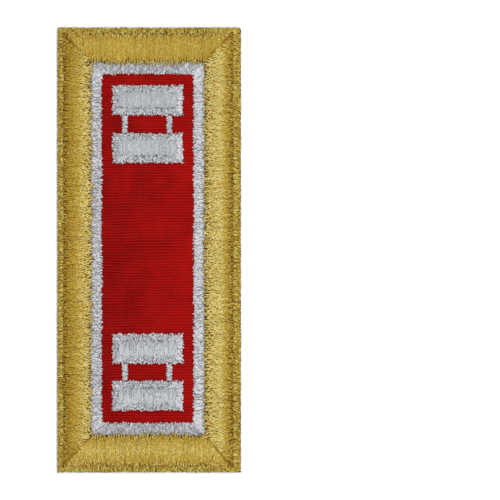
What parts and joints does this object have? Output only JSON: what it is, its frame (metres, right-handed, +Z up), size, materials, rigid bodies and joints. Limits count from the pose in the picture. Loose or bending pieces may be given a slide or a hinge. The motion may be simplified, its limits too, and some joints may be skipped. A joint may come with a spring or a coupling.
{
  "type": "embroidered shoulder strap",
  "caption": "Flat rectangular shoulder strap of ribbed cloth with a padded gold thread border, white edging, and linked white thread bars at each end.",
  "frame": {"origin": "centre of the back face, which the strap lies on", "axes": "+X across the strap, +Y along it towards the end shown uppermost, +Z up out of the embroidered face"},
  "size_m": [0.042, 0.1016, 0.0045],
  "materials": {
    "backing_cloth": "matte felted cloth",
    "red_ribbed_cloth": "fine crosswise ribs with a low sheen",
    "gold_thread": "satin-stitched lustrous thread",
    "white_thread": "satin-stitched lustrous thread"
  },
  "bodies": {
    "root": {"backing_cloth": "backing_cloth", "ground_cloth": "red_ribbed_cloth", "edge_stitching": "gold_thread", "border_left": "gold_thread", "border_right": "gold_thread", "border_top": "gold_thread", "border_bottom": "gold_thread", "inner_edging": "white_thread", "bar_1_rim": "white_thread", "bar_1_fill": "white_thread", "bar_2_rim": "white_thread", "bar_2_fill": "white_thread", "bar_3_rim": "white_thread", "bar_3_fill": "white_thread", "bar_4_rim": "white_thread", "bar_4_fill": "white_thread", "link_1": "white_thread", "link_2": "white_thread", "link_3": "white_thread", "link_4": "white_thread"}
  },
  "joints": []
}
